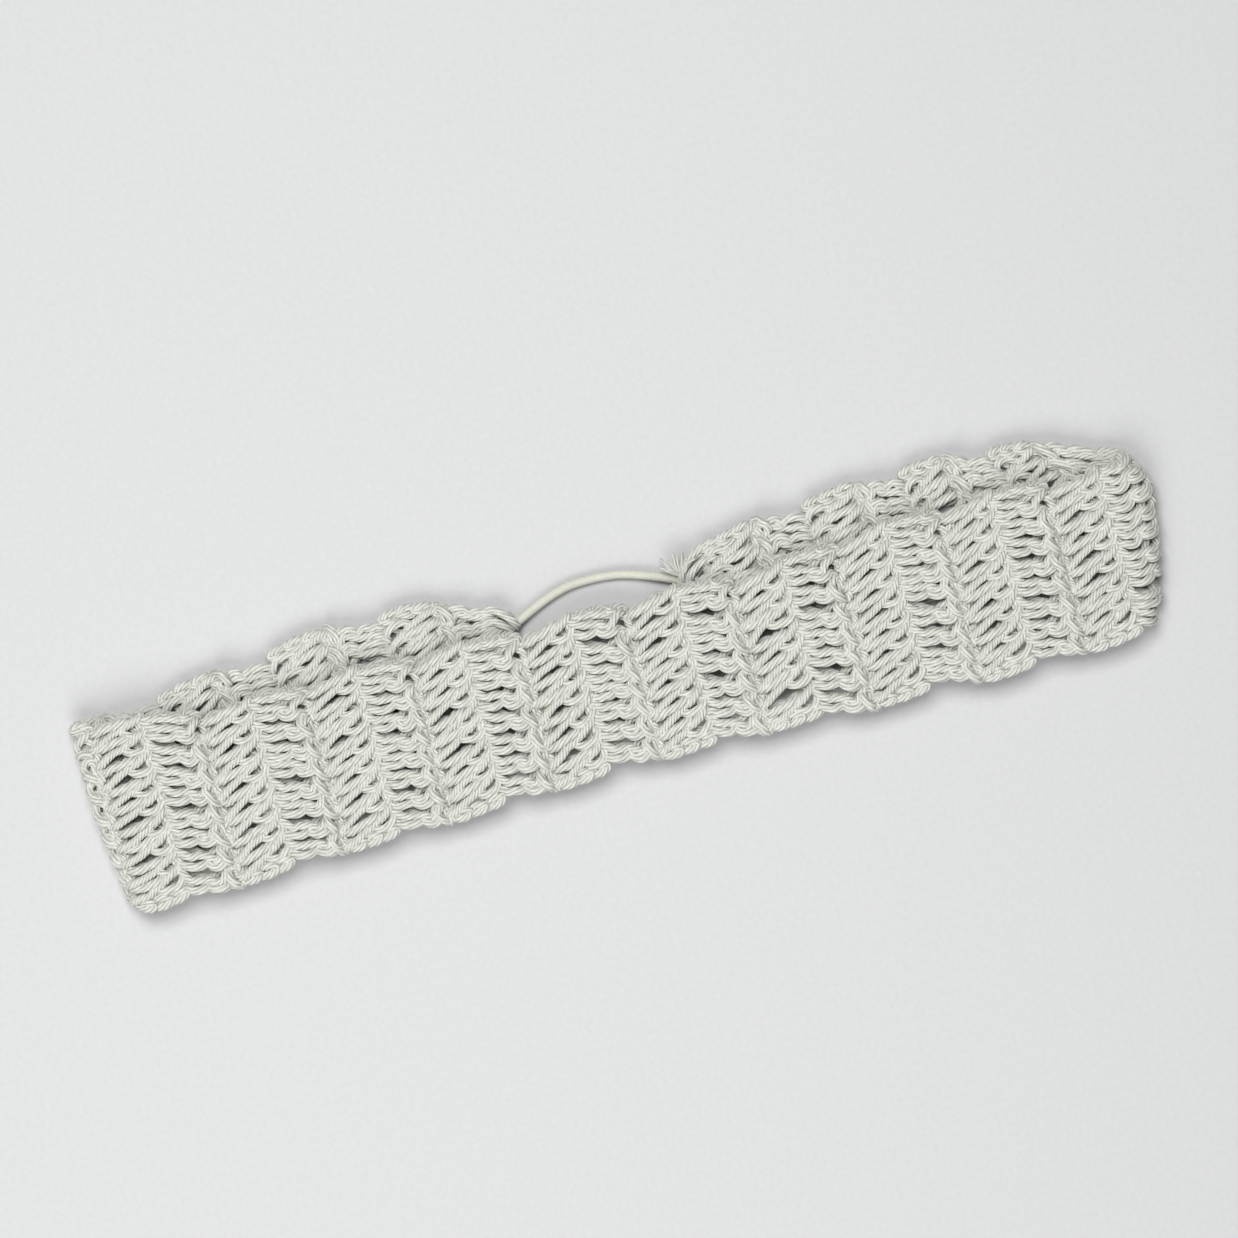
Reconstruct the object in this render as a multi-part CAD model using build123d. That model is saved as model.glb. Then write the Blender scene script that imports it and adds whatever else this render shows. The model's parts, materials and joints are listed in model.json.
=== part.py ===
from build123d import *
import math
import os

# A crocheted cotton headband, lying flat as a closed loop. The front layer lies on the back layer, the two
# meet in a fold at each end, and a round elastic cord joins the gathered ends of the back layer.
# The band is rows of double crochet that run across it, and each row is a piece of its own.
# +X runs along the band, +Y across it and +Z up from the surface that it lies on. Lengths are millimetres.

# Driving dimensions
ROW_PITCH = 11.8          # one row of double crochet, along the band
FRONT_ROWS = 19
LEFT_BACK_ROWS = 7        # from the left fold to the elastic
RIGHT_BACK_ROWS = 8       # from the right fold to the elastic
ROWS_PER_SECTION = 2      # rows that bend as one when the loop opens
LAYER = 4.4               # thickness of one layer of crochet
CLEARANCE = 0.3           # between the two layers, and between sections that bend apart
FOLD_FLAT = 2.15          # flat part of a fold row before its half-round turn
ELASTIC_DIAMETER = 2.0
ELASTIC_TUCK = 2.0        # length of elastic held inside each gathered end

# Edges of the layers as (x, y), straight between points
FRONT_TOP = [(-119, 17.2), (-97, 13.8), (-66, 12.9), (36, 13.1), (60, 15.5), (100, 16.0), (119, 14.4)]
FRONT_BOTTOM = [(-119, -26.05), (-84, -25.9), (-45, -24.5), (0, -22.8), (38, -22.9), (80, -24.1), (119, -22.6)]
BACK_LEFT_TOP = [(-119, 15.8), (-67, 23.0), (-45, 24.0), (-33, 21.6), (-29.5, 20.2), (-21.5, 16.4)]
BACK_LEFT_BOTTOM = [(-119, -24.0), (-67, -10.5), (-45, -2.0), (-33, 5.2), (-29.5, 8.0), (-21.5, 12.2)]
BACK_RIGHT_TOP = [(15.1, 16.4), (22.6, 21.0), (41.6, 24.6), (72, 26.2), (98, 25.2), (119, 19.6)]
BACK_RIGHT_BOTTOM = [(15.1, 11.8), (22.6, 6.6), (41.6, -4.6), (72, -10.0), (119, -17.0)]

# Elastic cord, from inside the left gathered end to inside the right one, with the run of its middle on the
# surface below it
ELASTIC_START = (-21.5, 14.3, 2.2)
ELASTIC_BENDS = [(-12.6, 18.5, 1.5), (-2.2, 19.3, 1.1), (6.6, 17.9, 1.5)]
ELASTIC_END = (15.1, 14.1, 2.2)
RADIUS_SHARE = 0.45       # part of the shorter run that a bend may use

# Tail of the yarn where the right end is whipped to the elastic, as a flat wedge
TAIL_OUTLINE = [(15.1, 15.7), (15.1, 17.6), (12.6, 19.0), (10.2, 18.7), (13.2, 17.0)]
TAIL_FLOOR = 1.6
TAIL_THICKNESS = 1.4

# Derived dimensions
HEIGHT = 2 * LAYER + CLEARANCE
FRONT_FLOOR = LAYER + CLEARANCE
ROWS_END = FRONT_ROWS * ROW_PITCH / 2     # x where the rows stop and the right fold starts
FOLD_RADIUS = HEIGHT / 2
LEFT_GATHER_START = -ROWS_END + LEFT_BACK_ROWS * ROW_PITCH
RIGHT_GATHER_START = ROWS_END - RIGHT_BACK_ROWS * ROW_PITCH


def edge_y(edge, x):
    """Where an edge runs at x."""
    for (x0, y0), (x1, y1) in zip(edge, edge[1:]):
        if x <= x1:
            return y0 + (y1 - y0) * (x - x0) / (x1 - x0)
    return edge[-1][1]


def slab(x0, x1, top, bottom, floor):
    """A flat piece of a layer between two places along the band, cut to the layer's edges."""
    corners = [
        (x0, edge_y(bottom, x0)),
        (x1, edge_y(bottom, x1)),
        (x1, edge_y(top, x1)),
        (x0, edge_y(top, x0)),
    ]
    return extrude(Plane.XY.offset(floor) * make_face(Polyline(*corners, close=True)), LAYER)


def section_borders():
    """Places along the band where it bends as the loop opens."""
    borders = [-ROWS_END, ROWS_END, LEFT_GATHER_START, RIGHT_GATHER_START]
    for count in range(1, 4):
        step = count * ROWS_PER_SECTION * ROW_PITCH
        borders += [LEFT_GATHER_START - step, RIGHT_GATHER_START + step]
    return borders


def row(x0, x1, top, bottom, floor):
    """One row, standing back from its neighbour where the band bends between them."""
    borders = section_borders()
    at_start = any(math.isclose(x0, border, abs_tol=0.01) for border in borders)
    at_end = any(math.isclose(x1, border, abs_tol=0.01) for border in borders)
    back_off = CLEARANCE / 2
    return slab(x0 + back_off * at_start, x1 - back_off * at_end, top, bottom, floor)


def front_rows():
    for index in range(FRONT_ROWS):
        x0 = -ROWS_END + index * ROW_PITCH
        yield f"front_row_{index + 1:02d}", row(x0, x0 + ROW_PITCH, FRONT_TOP, FRONT_BOTTOM, FRONT_FLOOR)


def back_rows():
    """The rows under the front layer, counted from each fold towards the elastic."""
    for index in range(LEFT_BACK_ROWS):
        x0 = -ROWS_END + index * ROW_PITCH
        yield f"back_left_row_{index + 1:02d}", row(x0, x0 + ROW_PITCH, BACK_LEFT_TOP, BACK_LEFT_BOTTOM, 0)
    for index in range(RIGHT_BACK_ROWS):
        x1 = ROWS_END - index * ROW_PITCH
        yield f"back_right_row_{index + 1:02d}", row(x1 - ROW_PITCH, x1, BACK_RIGHT_TOP, BACK_RIGHT_BOTTOM, 0)


def fold_row(side, y_low, y_high):
    """A row that turns through a half circle from the front layer to the back one. side is -1 or 1."""
    inner = side * (ROWS_END + CLEARANCE / 2)
    turn = side * (ROWS_END + FOLD_FLAT)
    tip = side * (ROWS_END + FOLD_FLAT + FOLD_RADIUS)
    sides = [
        Line((turn, 0), (inner, 0)),
        Line((inner, 0), (inner, HEIGHT)),
        Line((inner, HEIGHT), (turn, HEIGHT)),
        ThreePointArc((turn, HEIGHT), (tip, FOLD_RADIUS), (turn, 0)),
    ]
    profile = make_face(sides)
    width = y_high - y_low
    # On Plane.XZ the normal is -Y, so the extrusion starts at the higher end
    return extrude(Plane.XZ.offset(-y_high) * profile, width)


def gathered_ends():
    """The last, drawn-in stitches of each end of the back layer, which hold the elastic."""
    left = row(LEFT_GATHER_START, ELASTIC_START[0], BACK_LEFT_TOP, BACK_LEFT_BOTTOM, 0)
    right = row(ELASTIC_END[0], RIGHT_GATHER_START, BACK_RIGHT_TOP, BACK_RIGHT_BOTTOM, 0)
    yield "left_gathered_end", left
    yield "right_gathered_end", right


def elastic_route():
    """The bends of the elastic between two ends that run on into the gathered ends."""
    start = Vector(*ELASTIC_START)
    end = Vector(*ELASTIC_END)
    first = (Vector(*ELASTIC_BENDS[0]) - start).normalized()
    last = (Vector(*ELASTIC_BENDS[-1]) - end).normalized()
    return [start - first * ELASTIC_TUCK, *(Vector(*bend) for bend in ELASTIC_BENDS), end - last * ELASTIC_TUCK]


def bend_radii(route):
    radii = []
    for before, corner, after in zip(route, route[1:], route[2:]):
        turn = math.radians((corner - before).get_angle(after - corner))
        run = min((corner - before).length, (after - corner).length)
        radii.append(RADIUS_SHARE * run / math.tan(turn / 2))
    return radii


def elastic_cord():
    route = elastic_route()
    radii = bend_radii(route)
    path = FilletPolyline(*route, radius=radii)
    tube = sweep(Plane(path @ 0, z_dir=path % 0) * Circle(ELASTIC_DIAMETER / 2), path)
    expected = math.pi * ELASTIC_DIAMETER**2 / 4 * path.length
    print("elastic radii", [round(radius, 1) for radius in radii], "length", round(path.length, 1))
    print("elastic volume", round(tube.volume, 2), "section times length", round(expected, 2))
    return tube


def yarn_tail():
    return extrude(Plane.XY.offset(TAIL_FLOOR) * make_face(Polyline(*TAIL_OUTLINE, close=True)), TAIL_THICKNESS)


def pieces():
    yield from front_rows()
    yield from back_rows()
    yield "left_fold_row", fold_row(-1, -25.6, 16.8)
    yield "right_fold_row", fold_row(1, -20.0, 17.6)
    yield from gathered_ends()
    yield "elastic_cord", elastic_cord()
    yield "yarn_tail", yarn_tail()


os.makedirs("parts", exist_ok=True)
for name, piece in pieces():
    export_step(piece, f"parts/{name}.step")
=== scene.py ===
import json
import math

import bpy
import numpy as np
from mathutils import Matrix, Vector

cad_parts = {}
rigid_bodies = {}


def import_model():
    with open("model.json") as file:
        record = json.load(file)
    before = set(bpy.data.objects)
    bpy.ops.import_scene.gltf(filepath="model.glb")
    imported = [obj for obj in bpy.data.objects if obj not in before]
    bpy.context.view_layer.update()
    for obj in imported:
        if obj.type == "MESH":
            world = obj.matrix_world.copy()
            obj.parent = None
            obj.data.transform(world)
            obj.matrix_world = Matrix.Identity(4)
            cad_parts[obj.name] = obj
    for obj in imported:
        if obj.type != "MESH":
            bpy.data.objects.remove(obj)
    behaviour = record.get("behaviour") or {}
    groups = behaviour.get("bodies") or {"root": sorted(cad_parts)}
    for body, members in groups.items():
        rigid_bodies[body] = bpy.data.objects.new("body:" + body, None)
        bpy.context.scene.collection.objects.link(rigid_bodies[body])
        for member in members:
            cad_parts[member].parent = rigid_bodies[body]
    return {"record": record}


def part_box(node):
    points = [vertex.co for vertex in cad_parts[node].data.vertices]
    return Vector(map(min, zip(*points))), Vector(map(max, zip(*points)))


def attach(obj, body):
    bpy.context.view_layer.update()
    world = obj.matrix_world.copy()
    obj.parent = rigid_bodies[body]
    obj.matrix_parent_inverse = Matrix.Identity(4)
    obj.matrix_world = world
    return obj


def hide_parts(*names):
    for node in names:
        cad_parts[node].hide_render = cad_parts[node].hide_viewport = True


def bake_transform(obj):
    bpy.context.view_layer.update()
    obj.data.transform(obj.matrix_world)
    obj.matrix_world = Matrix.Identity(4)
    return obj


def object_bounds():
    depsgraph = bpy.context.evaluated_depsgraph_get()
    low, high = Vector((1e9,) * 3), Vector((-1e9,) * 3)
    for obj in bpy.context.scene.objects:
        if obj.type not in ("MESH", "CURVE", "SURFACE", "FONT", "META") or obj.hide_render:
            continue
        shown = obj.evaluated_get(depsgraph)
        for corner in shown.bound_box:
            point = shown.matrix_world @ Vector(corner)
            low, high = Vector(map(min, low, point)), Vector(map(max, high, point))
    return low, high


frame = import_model()
cad_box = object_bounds()

# A crocheted headband that lies flat as a closed loop, with a round elastic cord between its gathered ends.
# Each CAD row is replaced by the yarn of that row, in real loops of plied yarn. Lengths are in millimetres,
# which mesh_piece turns into metres, unless a comment says that they are in metres.
MM = 0.001
rng = np.random.default_rng(7)

# Yarn
YARN_RADIUS = 0.96
PLIES = 5
CORNERS_PER_PLY = 4
PLY_DEPTH = 0.36          # share of the radius that the groove between two plies cuts in
TURN_LENGTH = 7.2         # of yarn, for one turn of its plies, at the yarn's own twist
YARN_STEP = 0.42
THICK_AND_THIN = [(0.035, 0.9), (0.025, 2.3)]    # (share of the radius, radians per mm)
ANY_PHASE = (0, 6.3)
ANY_DIRECTION = (0.3, 0.5, 0.8)                  # one that no strand starts out along
TIP_SHARE = 0.05          # what is left of a strand's section at its very end
LINE_SAMPLES = 12         # between two points of a route
GRAIN_SHIFT = 37.0        # from strand to strand of a piece, so that their grain differs

# Stitches, before a row is drawn to the band's edges
STITCH_WIDTH = 4.4
ROW_HEIGHT = 11.8
LOW_OVERHANG = 5.3        # of the turning chain, before the first stitch
HIGH_OVERHANG = 3.2       # of the last stitch
SQUASH = 0.9              # of a stitch's depth, lying flat
UNEVENNESS = 0.30         # of hand work, from stitch to stitch
POINT_UNEVENNESS = 0.09
TWIST_RANGE = (0.9, 1.1)
BELLY = 1.3               # share of a stitch's uneven height at the middle of the row, where it shows most
DEPTH_SHARE = 0.5         # how much of the unevenness goes into a stitch's depth

# Rows in the band
SLIDE = -3.6              # the rows sit this far along the loop from the CAD pieces that stand for them
EDGE_PULL = 0.05          # share of the band's width that its edges are drawn in at the joints between rows
JOINT_POWER = 4           # the higher, the nearer to a joint the pull is felt
EDGE_POWER = 6            # and the nearer to an edge
WIDTH_SAMPLES = 9         # along a row, for its mean width
WIDTH_LIMIT = 1.03        # share of its nominal width up to which a row's yarn is thickened with it
RIPPLE_ACROSS = 0.31      # radians per mm
RIPPLE_ALONG = 0.13       # radians per mm
RIPPLE_HEIGHT = 0.1
RIPPLE_SWAY = 0.15

# The loop
LAYER = 4.7               # thickness of the band's yarn
LIFT = 0.15               # off the floor
LOWEST_CENTRE = 1.1       # of a strand, in radii above the floor
FOLD_FLAT = 2.15          # past the rows' end, before the fold starts to turn
FOLD_SQUEEZE = 0.6        # of what lies inside the fold
EVENED_OUT = 60.0         # from the fold, where the back layer no longer feels the trim

# One double crochet, as (twist as a share of the yarn's own, points along the yarn). A point is (along the
# row, up the row, out of its front), and the stitch starts in the loop at the top of the one before it.
DOWN_THE_BACK = [(-1.9, 10.2, -0.8), (-0.9, 9.1, -1.4), (0.2, 8.2, -1.35), (0.1, 7.2, -1.2),
                 (-0.6, 6.2, -1.2), (-1.1, 5.0, -0.9), (-1.4, 3.6, -1.2), (-1.5, 2.1, -1.35),
                 (-2.4, 0.8, -1.2), (-3.6, -0.3, -0.7), (-4.2, -0.4, 0.2)]
FIRST_LOOP_UP = [(-3.95, 0.8, 1.0), (-2.75, 2.6, 1.3), (-1.75, 4.2, 1.15), (-0.85, 6.0, 0.95),
                 (0.1, 7.6, 0.6), (0.8, 8.5, 0.0), (1.35, 8.0, 0.7)]
FIRST_LOOP_DOWN = [(0.95, 6.9, 1.4), (0.35, 5.0, 1.65), (-0.3, 3.0, 1.6), (-0.7, 1.6, 1.1), (-0.7, 0.8, 0.1),
                   (-0.4, 0.2, -0.8)]
UP_THE_BACK = [(-0.2, 0.6, -1.2), (0.3, 1.5, -1.6), (0.55, 2.7, -1.7), (0.6, 3.9, -1.55), (0.3, 5.0, -1.1),
               (-0.1, 5.9, -0.2)]
SECOND_LOOP_UP = [(0.1, 7.3, 0.8), (0.5, 8.5, 1.35), (1.5, 9.8, 1.5), (2.5, 11.0, 1.2), (3.0, 11.6, 0.2),
                  (2.1, 12.0, -0.3), (0.8, 11.9, 0.3)]
SECOND_LOOP_DOWN = [(-0.5, 11.5, 0.9), (-1.5, 10.5, 1.1), (-2.0, 9.1, 1.1), (-1.9, 7.6, 0.9),
                    (-1.2, 6.3, 0.3), (-0.4, 5.5, -0.5)]
UP_TO_THE_TOP = [(0.4, 5.6, -1.2), (1.2, 6.3, -1.6), (1.6, 7.4, -1.7), (1.45, 8.7, -1.45), (1.1, 9.5, -0.8),
                 (1.9, 10.4, -0.1)]
TOP_LOOP = [(3.0, 9.4, -0.9), (3.6, 9.1, -1.5), (4.6, 9.4, -1.9), (5.7, 9.9, -1.9), (6.5, 10.4, -1.5),
            (7.0, 10.9, -0.6), (7.2, 11.4, 0.2), (6.3, 11.0, 0.4), (4.8, 10.8, 0.1), (3.3, 10.9, -0.1)]
LAST_TOP = [(2.3, 11.0, 0.1), (2.2, 11.8, 0.6), (1.9, 12.0, 0.9), (1.5, 11.5, 0.8)]
STITCH = [(0.9, DOWN_THE_BACK), (1.5, FIRST_LOOP_UP), (0.75, FIRST_LOOP_DOWN), (0.5, UP_THE_BACK),
          (1.5, SECOND_LOOP_UP), (0.5, SECOND_LOOP_DOWN), (0.5, UP_TO_THE_TOP), (0.35, TOP_LOOP)]
LAST_STITCH = [*STITCH[:-1], (0.6, LAST_TOP)]

# One link of the chain that climbs the edge at the start of a row, and how the links stand on each other
LINK = [(-0.1, -0.4, -0.8), (0.8, 1.2, 0.2), (0.7, 3.2, 1.0), (0.0, 4.5, 0.9), (-0.75, 3.2, 1.0),
        (-0.8, 1.2, 0.3), (-0.2, 0.7, -0.9)]
LINKS = 3
LINK_PITCH = 3.9
CHAIN_HEIGHT = ROW_HEIGHT - 0.6
CHAIN_PLACE = -3.9
CHAIN_LEAN = 0.3          # sideways, from each link to the next
CHAIN_FOOT = [(-3.4, 0.2), (-1.8, 0.0)]          # (up the row, out of its front), in the first row
CHAIN_TO_STITCH = (-2.6, 11.0, 0.2)
LOOSE = 0.5               # twist as a share of the yarn's own
TIGHT = 1.0

# The elastic cord's route in metres: the same bends as the CAD tube
ELASTIC_DIAMETER = 2.0 * MM
ELASTIC_RADIUS = ELASTIC_DIAMETER / MM / 2       # in millimetres
ELASTIC_ROUTE = [(-0.0230, 0.0129, 0.0023), (-0.0126, 0.0185, 0.0015), (-0.0022, 0.0193, 0.0011),
                 (0.0066, 0.0179, 0.0015), (0.0168, 0.0133, 0.0023)]
ELASTIC_STEP = 0.12
ELASTIC_CORNERS = 72
BRAID_CARRIERS = 8
BRAID_PITCH = 7.0         # of the elastic, for one turn of a braided end
BRAID_DEPTH = 0.09        # share of the radius

# The band's edges as (x, y), and how far each fold falls short of a straight end, as (y, distance)
FRONT_TOP = [(-112, 17.2), (-97, 13.8), (-66, 12.9), (36, 13.1), (60, 15.5), (100, 16.0), (112, 15.0)]
FRONT_BOTTOM = [(-112, -27.3), (-84, -25.9), (-45, -24.5), (0, -22.8), (38, -22.9), (80, -24.1),
                (112, -22.8)]
BACK_LEFT_TOP = [(-112, 16.8), (-67, 23.0), (-45, 24.0), (-33, 21.6), (-29.5, 20.2), (-21.5, 16.4)]
BACK_LEFT_BOTTOM = [(-112, -22.0), (-67, -10.5), (-45, -2.0), (-33, 5.2), (-29.5, 8.0), (-21.5, 12.2)]
BACK_RIGHT_TOP = [(15.1, 16.4), (22.6, 21.0), (41.6, 24.6), (72, 26.2), (96, 25.4), (106, 24.0),
                  (113, 22.3)]
BACK_RIGHT_BOTTOM = [(15.1, 11.8), (22.6, 6.6), (41.6, -4.6), (72, -10.0), (112, -16.0)]
LEFT_END_TRIM = [(-26, 1.4), (0, -0.9), (10, -1.8), (17, -2.6)]
RIGHT_END_TRIM = [(-24, 8.5), (-20, 6.0), (-16, 4.2), (-12, 2.8), (0, 1.0), (8, -0.3), (11, 0.3), (15, 1.8),
                  (18.5, 3.6), (22.5, 5.5)]

# The drawn-in loops of yarn at the band's two ends, as points (x, y, z)
GATHER_RADIUS = 0.88
GATHER_TWIST = 0.6
LEFT_GATHER = [
    [(-28.5, 17.8, 2.4), (-26.4, 18.1, 3.6), (-24.6, 17.2, 4.2), (-22.9, 15.5, 4.2), (-21.6, 13.8, 3.6),
     (-21.5, 12.9, 2.3), (-22.6, 12.9, 1.1), (-25.0, 14.4, 1.0), (-28.0, 15.8, 1.1)],
    [(-29.0, 15.6, 3.3), (-27.2, 15.8, 4.1), (-25.4, 15.0, 4.4), (-23.9, 13.6, 4.2), (-23.1, 12.3, 3.3),
     (-23.4, 11.7, 1.9), (-25.0, 12.2, 1.1), (-28.0, 13.4, 1.1)],
    [(-30.0, 12.0, 3.5), (-27.6, 12.7, 4.2), (-25.2, 13.0, 3.2), (-23.0, 14.2, 1.2), (-22.3, 15.3, 1.2),
     (-23.2, 16.2, 2.2), (-25.6, 16.8, 2.4), (-28.5, 17.0, 1.8)],
]
RIGHT_GATHER = [
    [(24.5, 20.4, 2.8), (22.0, 20.0, 3.6), (19.5, 18.6, 4.0), (17.4, 16.9, 4.1), (15.9, 14.8, 4.0),
     (15.6, 13.0, 3.0), (16.2, 12.2, 1.5), (17.6, 13.2, 1.0), (20.0, 15.0, 1.0), (23.5, 16.5, 1.2)],
    [(24.5, 16.8, 3.4), (21.8, 16.8, 4.0), (19.4, 15.8, 4.2), (17.6, 14.2, 4.2), (16.9, 12.6, 3.4),
     (17.6, 11.8, 1.9), (19.5, 12.4, 1.1), (23.0, 13.0, 1.2)],
    [(25.0, 12.8, 3.6), (22.3, 13.2, 4.1), (19.9, 12.8, 4.2), (18.6, 11.2, 3.6), (18.9, 9.9, 2.2),
     (20.8, 9.6, 1.2), (24.0, 9.8, 1.2)],
    [(25.0, 9.0, 3.2), (22.2, 10.2, 3.8), (19.6, 12.2, 3.2), (17.4, 14.6, 1.3), (17.2, 16.4, 1.3),
     (19.2, 17.6, 2.4), (23.0, 18.6, 2.2)],
]

# The whipping of yarn round the elastic at the right end, twisted like the gathers
WHIPPING = (0.2, 2.4)     # from and to, along the elastic from its right end
WHIPPING_TURNS = 1
WHIPPING_RADIUS = 0.7
WHIPPING_SINK = 0.9       # the strand's centre lies this many of its radii off the elastic
WHIPPING_POINTS = 8       # per turn
WHIPPING_STEP = 0.3

# The frayed tail of yarn: each of its plies runs from the root over a shoulder and a middle to its tip
TAIL_ROOT = (15.6, 14.6)
TAIL_DIRECTIONS = [42, 58, 72, 85, 98, 112, 126, 142]    # degrees from +X
TAIL_LENGTH = (4.2, 6.0)  # from and to
TAIL_SHOULDER = 0.9       # from the root
TAIL_MIDDLE = 0.55        # share of a ply's length
TAIL_HEIGHTS = (2.8, 4.2, 5.0)                   # of the root, the shoulder and the middle
TAIL_TIP_HEIGHT = (3.2, 5.2)                     # from and to
TAIL_STRAY = (0.2, 0.4)   # of the middle and the tip, sideways
TAIL_RADIUS = 0.38
TAIL_STRANDS = 3          # in a ply
TAIL_TWIST = 0.4
TAIL_STEP = 0.25

# Hinges and folds, in metres
FOLD_PRIORITY = 4.0       # a fold reaches this many times further than the hinge beside it, when a row's hinge is picked
FOLD_HALVES = [("low", -20.0), ("high", 18.0)]   # of a row at a fold, and the y of their outer edges in mm

# Camera, in metres
VIEW_WIDTH = 0.2668
VIEW_CENTRE = (0.0004, 0.0091)
VIEW_TURN = math.radians(14.5)
CAMERA_HEIGHT = 0.80
BAND_MIDDLE = 0.006       # height at which the view is VIEW_WIDTH wide

# Floor and lights, in metres. A light is its name, place, size and watts.
LIGHTS = [("overhead", (-0.05, 0.34, 1.02), 0.50, 10.3), ("window", (-0.28, -0.55, 0.75), 0.65, 6.2)]
WORLD_STRENGTH = 0.13
FLOOR_SIZE = 4

# Worked out from these and the frame
HEIGHT = 2 * LAYER
FOLD_RADIUS = (HEIGHT - LAYER) / 2
FOLD_TURN = math.pi * FOLD_RADIUS
LEFT_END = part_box("left_fold_row")[1][0] / MM
RIGHT_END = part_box("right_fold_row")[0][0] / MM
HALF_LOOP = (RIGHT_END - LEFT_END) / 2
BODIES = frame["record"]["behaviour"]["bodies"]
JOINTS = frame["record"]["behaviour"]["joints"]


def overhead_camera():
    data = bpy.data.cameras.new("overhead")
    camera = bpy.data.objects.new("overhead", data)
    bpy.context.scene.collection.objects.link(camera)
    camera.location = (*VIEW_CENTRE, CAMERA_HEIGHT)
    camera.rotation_euler = (0, 0, -VIEW_TURN)
    data.angle = 2 * math.atan(VIEW_WIDTH / 2 / (CAMERA_HEIGHT - BAND_MIDDLE))
    data.clip_start = 0.01
    bpy.context.scene.camera = camera


# Lines and tubes ------------------------------------------------------------------------------------------

def smooth_line(points, step):
    """A Catmull-Rom line through rows of (x, y, z, anything else), in even steps along its length."""
    p = np.asarray(points, float)
    p = np.vstack([2 * p[0] - p[1], p, 2 * p[-1] - p[-2]])
    t = np.linspace(0, 1, LINE_SAMPLES, endpoint=False)[:, None]
    spans = []
    for a, b, c, d in zip(p, p[1:], p[2:], p[3:]):
        square = (2 * a - 5 * b + 4 * c - d) * t**2
        cube = (3 * b - a - 3 * c + d) * t**3
        spans.append(0.5 * (2 * b + (c - a) * t + square + cube))
    line = np.vstack([*spans, p[-2:-1]])
    along = run_lengths(line)
    even = np.linspace(0, along[-1], max(4, int(along[-1] / step)))
    return np.stack([np.interp(even, along, column) for column in line.T], axis=1)


def run_lengths(line):
    steps = np.linalg.norm(np.diff(line[:, :3], axis=0), axis=1)
    return np.concatenate([[0.0], np.cumsum(steps)])


def carried_frame(line):
    """A direction across the line at each point, carried along without turning, and the one square to it."""
    tangent = np.gradient(line, axis=0)
    tangent /= np.linalg.norm(tangent, axis=1)[:, None]
    across = np.zeros_like(line)
    start = np.cross(tangent[0], ANY_DIRECTION)
    across[0] = start / np.linalg.norm(start)
    for i in range(1, len(line)):
        turned = across[i - 1] - tangent[i] * np.dot(across[i - 1], tangent[i])
        across[i] = turned / np.linalg.norm(turned)
    return across, np.cross(tangent, across)


def tube(line, radius, angle, shape):
    """Corners, faces and strand coordinates of a tube. radius and angle hold a value for each ring and
    corner, and shape is each corner's place in the yarn's own section."""
    across, up = carried_frame(line)
    rings, corners = angle.shape
    ring = np.cos(angle)[..., None] * across[:, None] + np.sin(angle)[..., None] * up[:, None]
    points = line[:, None] + radius[..., None] * ring
    first = np.arange(rings - 1)[:, None] * corners
    here = np.arange(corners)[None, :]
    after = (here + 1) % corners
    faces = np.stack([first + here, first + after, first + corners + after, first + corners + here], axis=-1)
    along = np.broadcast_to(run_lengths(line)[:, None], angle.shape)
    strand = np.dstack([np.broadcast_to(shape, (rings, corners, 2)), along])
    return points.reshape(-1, 3), faces.reshape(-1, 4), strand.reshape(-1, 3)


def yarn(points, radius, plies=PLIES, step=YARN_STEP):
    """Plied yarn through rows of (x, y, z, twist)."""
    line = smooth_line(points, step)
    line, twist = line[:, :3], line[:, 3]
    corner = 2 * np.pi * np.arange(plies * CORNERS_PER_PLY) / (plies * CORNERS_PER_PLY)
    lobe = 1 - PLY_DEPTH + PLY_DEPTH * np.sqrt(np.abs(np.cos(plies * corner / 2)))
    along = run_lengths(line)
    turned = np.concatenate([[0.0], np.cumsum(twist[1:] * np.diff(along))]) * 2 * np.pi / TURN_LENGTH
    angle = corner[None] - turned[:, None] + rng.uniform(0, 2 * np.pi)
    thickness = np.ones(len(line))
    for share, rate in THICK_AND_THIN:
        thickness += share * np.sin(along * rate + rng.uniform(*ANY_PHASE))
    thickness *= np.clip(np.minimum(along, along[-1] - along) / radius, TIP_SHARE, 1) ** 0.5
    shape = np.stack([np.cos(corner) * lobe, np.sin(corner) * lobe], axis=1)
    return tube(line, radius * thickness[:, None] * lobe[None], angle, shape)


def mesh_piece(name, strands, material):
    """One mesh object in metres, from several tubes in millimetres."""
    start = 0
    points, faces, coordinates = [], [], []
    for tube_points, tube_faces, strand in strands:
        points.append(tube_points)
        faces.append(tube_faces + start)
        coordinates.append(strand + (0, 0, GRAIN_SHIFT * len(points)))
        start += len(tube_points)
    points = np.vstack(points) * MM
    faces = np.vstack(faces)
    data = bpy.data.meshes.new(name)
    data.vertices.add(len(points))
    data.vertices.foreach_set("co", points.ravel())
    data.loops.add(faces.size)
    data.loops.foreach_set("vertex_index", faces.ravel())
    data.polygons.add(len(faces))
    data.polygons.foreach_set("loop_start", np.arange(0, faces.size, 4))
    data.polygons.foreach_set("use_smooth", np.ones(len(faces), bool))
    strand = data.attributes.new("strand", "FLOAT_VECTOR", "POINT")
    strand.data.foreach_set("vector", np.vstack(coordinates).astype(np.float32).ravel())
    data.update(calc_edges=True)
    data.materials.append(material)
    piece = bpy.data.objects.new(name, data)
    bpy.context.scene.collection.objects.link(piece)
    return piece


def part_of(tube_mesh, keep):
    """The part of a tube that has the kept faces."""
    points, faces, coordinates = tube_mesh
    used, faces = np.unique(faces[keep], return_inverse=True)
    return points[used], faces.reshape(-1, 4), coordinates[used]


# Where the rows lie ---------------------------------------------------------------------------------------

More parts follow.
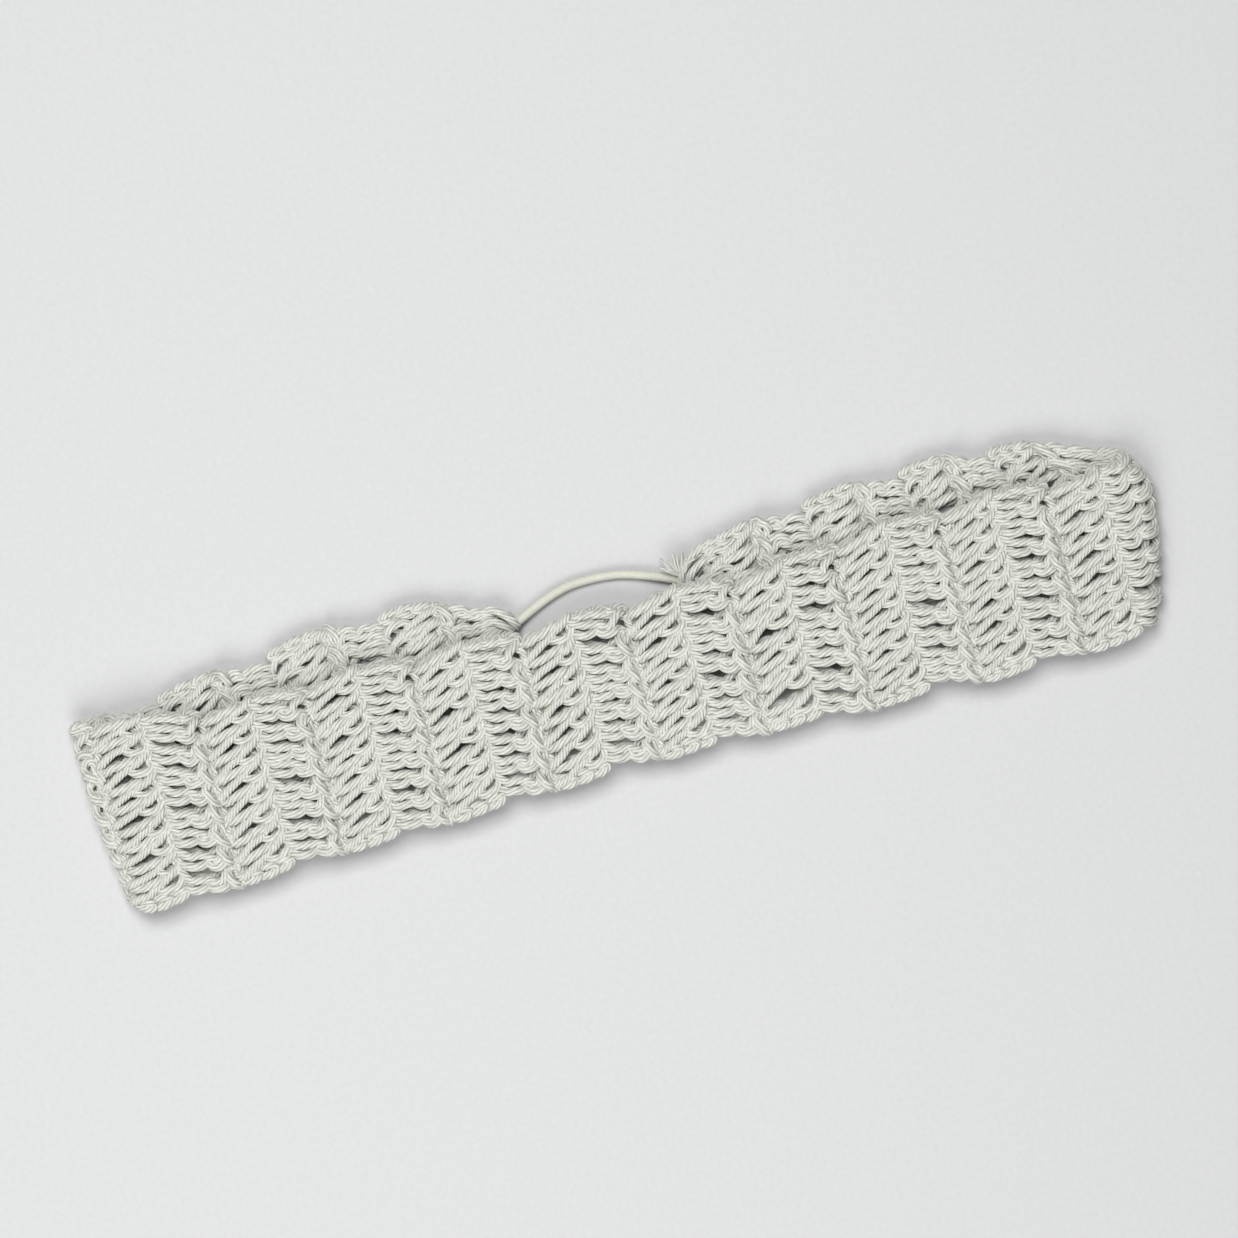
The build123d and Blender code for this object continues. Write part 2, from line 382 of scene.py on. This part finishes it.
def end_trim(side, y):
    """How far the fold on this side falls short of a straight end."""
    left, right = (np.interp(y, *np.array(trim).T) for trim in (LEFT_END_TRIM, RIGHT_END_TRIM))
    return np.where(side > 0, right, left)


def place(along, out, y):
    """(x, z) of a point on the loop. along is measured from the middle of the front layer, and out is from
    the middle of the band's thickness towards the outside of the loop."""
    side = np.sign(along)
    trim = end_trim(side, y)
    half = HALF_LOOP - trim
    past = np.abs(along) - half
    turn = np.clip((past - FOLD_FLAT) / FOLD_TURN, 0, 1) * math.pi
    evened = np.clip((past - FOLD_FLAT - FOLD_TURN) / EVENED_OUT, 0, 1)
    back_run = np.maximum(past - FOLD_FLAT - FOLD_TURN, 0) - 2 * trim * evened
    squeezed = np.where((turn > 0) & (turn < math.pi) & (out < 0), out * FOLD_SQUEEZE, out)
    reach = FOLD_RADIUS + squeezed
    x = np.where(past < FOLD_FLAT, np.abs(along), half + FOLD_FLAT - back_run + reach * np.sin(turn))
    z = HEIGHT / 2 + LIFT + reach * np.cos(turn)
    return side * x, z


def row_nodes():
    """The CAD rows in their order round the loop, from the left gathered end."""
    left = [f"back_left_row_{n:02d}" for n in range(7, 0, -1)]
    front = [f"front_row_{n:02d}" for n in range(1, 20)]
    right = [f"back_right_row_{n:02d}" for n in range(1, 9)]
    return [*left, "left_fold_row", *front, "right_fold_row", *right]


def behind(side, x):
    """How far along the loop a point of the back layer is, from its x."""
    return side * (2 * (HALF_LOOP + FOLD_FLAT) + FOLD_TURN - abs(x))


def along_edge(back_left, front, back_right):
    points = [(behind(-1, x), y) for x, y in back_left] + front + [(behind(1, x), y) for x, y in back_right]
    return np.array(sorted(points)).T


def band_edges(along):
    low = along_edge(BACK_LEFT_BOTTOM, FRONT_BOTTOM, BACK_RIGHT_BOTTOM)
    high = along_edge(BACK_LEFT_TOP, FRONT_TOP, BACK_RIGHT_TOP)
    return np.interp(along, *low), np.interp(along, *high)


# The yarn of a row ----------------------------------------------------------------------------------------

def turning_chain(first):
    """The links that climb the row's edge, as (along the row, up it, out, twist)."""
    points = [(CHAIN_PLACE, v, w, LOOSE) for v, w in CHAIN_FOOT] if first else []
    link_height = CHAIN_HEIGHT / LINKS
    for link in range(LINKS):
        for u, v, w in LINK:
            climb = v * link_height / LINK_PITCH + link * link_height
            points.append((u + CHAIN_PLACE + CHAIN_LEAN * link, climb, w, TIGHT))
    points.append((*CHAIN_TO_STITCH, LOOSE))
    return points


def double_crochet(place_in_row, parts):
    """One stitch, a little uneven, as (along the row, up it, out, twist)."""
    shift = place_in_row * STITCH_WIDTH + rng.normal(0, UNEVENNESS)
    rise, lean, depth = rng.normal(0, UNEVENNESS, 3)
    points = []
    for twist, part in parts:
        for u, v, w in part:
            share = v / ROW_HEIGHT
            height = v + BELLY * rise * share * (1 - share) * 4
            out = w * (1 + DEPTH_SHARE * depth)
            points.append((u + shift + lean * share, height, out, twist * rng.uniform(*TWIST_RANGE)))
    return points


def row_path(count, first):
    """The yarn of one row, from its turning chain to its last stitch."""
    points = turning_chain(first)
    for stitch in range(count):
        points += double_crochet(stitch, STITCH if stitch < count - 1 else LAST_STITCH)
    points = np.array(points)
    points[:, :3] += rng.normal(0, POINT_UNEVENNESS, (len(points), 3))
    return points


def stitch_count(width):
    return max(3, round((width - LOW_OVERHANG - HIGH_OVERHANG) / STITCH_WIDTH) + 1)


def fitted_row(start, flipped, first):
    """The yarn of one row, bent round the loop and drawn to the band's edges. start is where its foot is."""
    low, high = band_edges(start + ROW_HEIGHT * np.linspace(0, 1, WIDTH_SAMPLES))
    width = float(np.mean(high - low))
    count = stitch_count(width)
    nominal = (count - 1) * STITCH_WIDTH + LOW_OVERHANG + HIGH_OVERHANG
    path = row_path(count, first)
    low, high = band_edges(start + path[:, 1])
    across = (path[:, 0] + LOW_OVERHANG - nominal / 2) / nominal
    near_joint = np.clip(np.abs(2 * path[:, 1] / ROW_HEIGHT - 1), 0, 1) ** JOINT_POWER
    near_edge = np.clip(2 * across, -1, 1) ** EDGE_POWER
    across *= 1 - EDGE_PULL * near_joint * near_edge
    out = path[:, 2] * SQUASH
    if flipped:
        across, out = -across, -out
    y = (low + high) / 2 + across * (high - low)
    ripple = np.sin(y * RIPPLE_ACROSS + start * RIPPLE_ALONG)
    x, z = place(start + path[:, 1], out + RIPPLE_HEIGHT * ripple, y)
    y = y + RIPPLE_SWAY * ripple
    radius = YARN_RADIUS * min(WIDTH_LIMIT, width / nominal) ** 0.5
    return yarn(np.stack([x, y, np.maximum(z, radius * LOWEST_CENTRE), path[:, 3]], axis=1), radius)


# Bodies and hinges
# ------------------------------------------------------------------------------------------

def body_with(node):
    return next(body for body, nodes in BODIES.items() if node in nodes)


def hinge_along(joint):
    """How far along the loop a hinge is."""
    x, _, z = joint["pos_m"]
    if z > cad_box[1][2] / 2:
        return x / MM
    return behind(math.copysign(1, x), x / MM)


def hinge_near(body, along):
    """The hinge of a body that lies nearest a row whose middle is this far along the loop; folds count as
    nearer.
    """
    def distance(joint):
        return abs(hinge_along(joint) - along) / (FOLD_PRIORITY if "fold" in joint["name"] else 1)
    return min((joint for joint in JOINTS if body in (joint["parent"], joint["child"])), key=distance)


def bend_between_rows(piece):
    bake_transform(piece)


def bend_from_fold(piece, joint):
    """Bakes one half of a row's width into its mesh where it lies, at a fold; the fold's hinge place is
    worked out but not used. edge is the y of the half's outer edge; it is not used.
    """
    x, y, z = joint["pos_m"]
    side = math.copysign(1, x)
    trim = float(end_trim(side, 0))
    x -= side * trim * MM
    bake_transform(piece)


# Materials ------------------------------------------------------------------------------------------------

def new_material(name):
    material = bpy.data.materials.new(name)
    material.use_nodes = True
    tree = material.node_tree
    return material, tree, tree.nodes["Principled BSDF"]


def add_node(tree, kind, **settings):
    node = tree.nodes.new(kind)
    for key, value in settings.items():
        setattr(node, key, value)
    return node


def ramp(tree, factor, stops):
    node = add_node(tree, "ShaderNodeValToRGB")
    elements = node.color_ramp.elements
    for element, (position, colour) in zip(elements, stops):
        element.position = position
        element.color = (*colour, 1)
    tree.links.new(factor, node.inputs["Fac"])
    return node.outputs["Color"]


def strand_noise(tree, stretch, detail):
    """Noise in the yarn's own coordinates, drawn out along its plies."""
    attribute = add_node(tree, "ShaderNodeAttribute", attribute_name="strand")
    mapping = add_node(tree, "ShaderNodeMapping")
    mapping.inputs["Scale"].default_value = stretch
    noise = add_node(tree, "ShaderNodeTexNoise")
    noise.inputs["Scale"].default_value = 1.0
    noise.inputs["Detail"].default_value = detail
    tree.links.new(attribute.outputs["Vector"], mapping.inputs["Vector"])
    tree.links.new(mapping.outputs["Vector"], noise.inputs["Vector"])
    return noise.outputs["Fac"]


def ply_height(tree):
    """1 on the crest of a ply and less in the grooves between plies."""
    attribute = add_node(tree, "ShaderNodeAttribute", attribute_name="strand")
    flat = add_node(tree, "ShaderNodeVectorMath", operation="MULTIPLY")
    flat.inputs[1].default_value = (1, 1, 0)
    length = add_node(tree, "ShaderNodeVectorMath", operation="LENGTH")
    tree.links.new(attribute.outputs["Vector"], flat.inputs[0])
    tree.links.new(flat.outputs["Vector"], length.inputs[0])
    return length.outputs["Value"]


def bump(tree, height, strength, distance):
    node = add_node(tree, "ShaderNodeBump")
    node.inputs["Strength"].default_value = strength
    node.inputs["Distance"].default_value = distance
    tree.links.new(height, node.inputs["Height"])
    return node.outputs["Normal"]


def cotton_material():
    material, tree, shader = new_material("cotton_yarn")
    fibres = strand_noise(tree, (11.0, 11.0, 1.1), 3.0)
    # painted shade: the yarn's colour is darkened in the grooves between plies, where shade falls, and kept
    # full on the ply crests
    crest = ramp(tree, ply_height(tree), [(0.65, (0.62, 0.62, 0.60)), (0.90, (1.0, 1.0, 1.0))])
    thread = ramp(tree, fibres, [(0.32, (0.42, 0.43, 0.385)), (0.62, (0.71, 0.715, 0.665))])
    colour = add_node(tree, "ShaderNodeMix", data_type="RGBA", blend_type="MULTIPLY")
    colour.inputs["Factor"].default_value = 1.0
    tree.links.new(thread, colour.inputs["A"])
    tree.links.new(crest, colour.inputs["B"])
    tree.links.new(colour.outputs["Result"], shader.inputs["Base Color"])
    tree.links.new(bump(tree, fibres, 0.4, 0.0002), shader.inputs["Normal"])
    shader.inputs["Roughness"].default_value = 0.5
    shader.inputs["Specular IOR Level"].default_value = 0.45
    shader.inputs["Sheen Weight"].default_value = 0.15
    shader.inputs["Sheen Roughness"].default_value = 0.4
    return material


def elastic_material():
    material, tree, shader = new_material("elastic")
    fibres = strand_noise(tree, (9.0, 9.0, 2.2), 4.0)
    colour = ramp(tree, fibres, [(0.30, (0.50, 0.495, 0.42)), (0.66, (0.68, 0.675, 0.60))])
    tree.links.new(colour, shader.inputs["Base Color"])
    tree.links.new(bump(tree, fibres, 0.5, 0.0002), shader.inputs["Normal"])
    shader.inputs["Roughness"].default_value = 0.7
    shader.inputs["Sheen Weight"].default_value = 0.3
    return material


def paper_material():
    material, tree, shader = new_material("pale_floor")
    coordinates = add_node(tree, "ShaderNodeTexCoord")
    grain = add_node(tree, "ShaderNodeTexNoise")
    grain.inputs["Scale"].default_value = 900.0
    tree.links.new(coordinates.outputs["Object"], grain.inputs["Vector"])
    colour = ramp(tree, grain.outputs["Fac"], [(0.3, (0.535, 0.54, 0.54)), (0.7, (0.56, 0.565, 0.565))])
    tree.links.new(colour, shader.inputs["Base Color"])
    shader.inputs["Roughness"].default_value = 0.8
    return material


# Pieces ---------------------------------------------------------------------------------------------------

def elastic_points():
    """The elastic's smooth centreline in metres: a NURBS spline with the route as its control points."""
    data = bpy.data.curves.new("elastic_route", "CURVE")
    data.dimensions = "3D"
    data.resolution_u = 40
    spline = data.splines.new("NURBS")
    spline.points.add(len(ELASTIC_ROUTE) - 1)
    for point, stop in zip(spline.points, ELASTIC_ROUTE):
        point.co = (*stop, 1)
    spline.order_u = 3
    spline.use_endpoint_u = True
    route = bpy.data.objects.new("elastic_route", data)
    line = bpy.data.meshes.new_from_object(route)
    points = np.array([vertex.co for vertex in line.vertices])
    bpy.data.objects.remove(route)
    return points


def braid_relief(corner, along):
    """1 on the crest of a braided end of the elastic and 0 in the gaps, for each ring and corner."""
    turn = 2 * np.pi * along / BRAID_PITCH
    right = BRAID_CARRIERS / 2 * (corner + turn)
    left = BRAID_CARRIERS / 2 * (corner - turn)
    right_is_over = np.sin(right) * np.sin(left) > 0
    return np.where(right_is_over, np.sqrt(np.abs(np.cos(right))), np.sqrt(np.abs(np.cos(left))))


def elastic_cord(material):
    centre = elastic_points()
    line = smooth_line(centre / MM, ELASTIC_STEP)
    corner = 2 * np.pi * np.arange(ELASTIC_CORNERS) / ELASTIC_CORNERS
    relief = braid_relief(corner[None], run_lengths(line)[:, None])
    radius = ELASTIC_RADIUS * (1 - BRAID_DEPTH + BRAID_DEPTH * relief)
    angle = np.broadcast_to(corner[None], radius.shape)
    shape = np.stack([np.cos(corner), np.sin(corner)], axis=1)
    piece = mesh_piece("elastic", [tube(line, radius, angle, shape)], material)
    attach(piece, body_with("elastic_cord"))
    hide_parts("elastic_cord")


def fixed_yarn(name, node, strands, material):
    """A piece of yarn that doesn't bend: it rides on its CAD node's body."""
    piece = mesh_piece(name, strands, material)
    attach(piece, body_with(node))
    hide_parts(node)


def row_pieces(node, row, joint, material):
    """A row as one piece where its hinge lies between rows, or as two halves, below and above the band's
    middle, where its hinge is a fold.
    """
    if "fold" not in joint["name"]:
        piece = mesh_piece(node + "_yarn", [row], material)
        bend_between_rows(piece)
        return [piece]
    is_low = row[0][row[1], 1].mean(axis=1) < 0
    pieces = []
    for (half, edge), keep in zip(FOLD_HALVES, (is_low, ~is_low)):
        piece = mesh_piece(f"{node}_{half}_yarn", [part_of(row, keep)], material)
        bend_from_fold(piece, joint)
        pieces.append(piece)
    return pieces


def crochet_rows(material):
    nodes = row_nodes()
    front = nodes.index("front_row_01")
    for index, node in enumerate(nodes):
        start = -HALF_LOOP + SLIDE + (index - front) * ROW_HEIGHT
        row = fitted_row(start, flipped=(index - front) % 2 == 1, first=index == 0)
        joint = hinge_near(body_with(node), start + ROW_HEIGHT / 2)
        for piece in row_pieces(node, row, joint, material):
            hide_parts(node)


def whipping(line):
    """Yarn wound round the start of a line."""
    start, end = WHIPPING
    line = line[(run_lengths(line) >= start) & (run_lengths(line) <= end)]
    across, up = carried_frame(line)
    angle = np.linspace(0, WHIPPING_TURNS * 2 * np.pi, len(line))[:, None]
    reach = ELASTIC_RADIUS + WHIPPING_RADIUS * WHIPPING_SINK
    points = line + reach * (np.cos(angle) * across + np.sin(angle) * up)
    points = points[:: max(1, len(points) // (WHIPPING_POINTS * WHIPPING_TURNS))]
    points = np.column_stack([points, np.full(len(points), GATHER_TWIST)])
    return yarn(points, WHIPPING_RADIUS, step=WHIPPING_STEP)


def gathered_ends(material):
    """The drawn-in yarn at each end of the band, and the whipping round the elastic at the right one."""
    for side, loops in (("left", LEFT_GATHER), ("right", RIGHT_GATHER)):
        strands = [yarn([(*point, GATHER_TWIST) for point in loop], GATHER_RADIUS) for loop in loops]
        if side == "right":
            strands.append(whipping(elastic_points()[::-1] / MM))
        fixed_yarn(side + "_gather_yarn", side + "_gathered_end", strands, material)


def frayed_tail(material):
    """The end of the yarn, opened into its plies where it leaves the whipping."""
    plies = []
    root = np.array(TAIL_ROOT)
    for turn in np.radians(TAIL_DIRECTIONS):
        reach = rng.uniform(*TAIL_LENGTH)
        across = np.array([math.cos(turn), math.sin(turn)])
        shoulder = root + across * TAIL_SHOULDER
        middle = root + across * reach * TAIL_MIDDLE + rng.normal(0, TAIL_STRAY[0], 2)
        tip = root + across * reach + rng.normal(0, TAIL_STRAY[1], 2)
        heights = [*TAIL_HEIGHTS, rng.uniform(*TAIL_TIP_HEIGHT)]
        points = [(*point, z, TAIL_TWIST) for point, z in zip((root, shoulder, middle, tip), heights)]
        plies.append(yarn(points, TAIL_RADIUS, plies=TAIL_STRANDS, step=TAIL_STEP))
    fixed_yarn("yarn_tail_plies", "yarn_tail", plies, material)


def floor_and_lights():
    bpy.context.scene.view_settings.view_transform = "Standard"
    bpy.ops.mesh.primitive_plane_add(size=FLOOR_SIZE)
    floor = bpy.context.object
    floor.name = "floor"
    floor.data.materials.append(paper_material())
    world = bpy.data.worlds.new("studio")
    bpy.context.scene.world = world
    world.use_nodes = True
    background = world.node_tree.nodes["Background"]
    background.inputs["Color"].default_value = (1, 1, 1, 1)
    background.inputs["Strength"].default_value = WORLD_STRENGTH
    for name, light_place, size, power in LIGHTS:
        data = bpy.data.lights.new(name, "AREA")
        data.size = size
        data.energy = power
        light = bpy.data.objects.new(name, data)
        bpy.context.scene.collection.objects.link(light)
        light.location = light_place
        light.rotation_euler = (-Vector(light_place)).to_track_quat("-Z", "Y").to_euler()


overhead_camera()
cotton = cotton_material()
elastic_cord(elastic_material())
crochet_rows(cotton)
gathered_ends(cotton)
frayed_tail(cotton)
floor_and_lights()
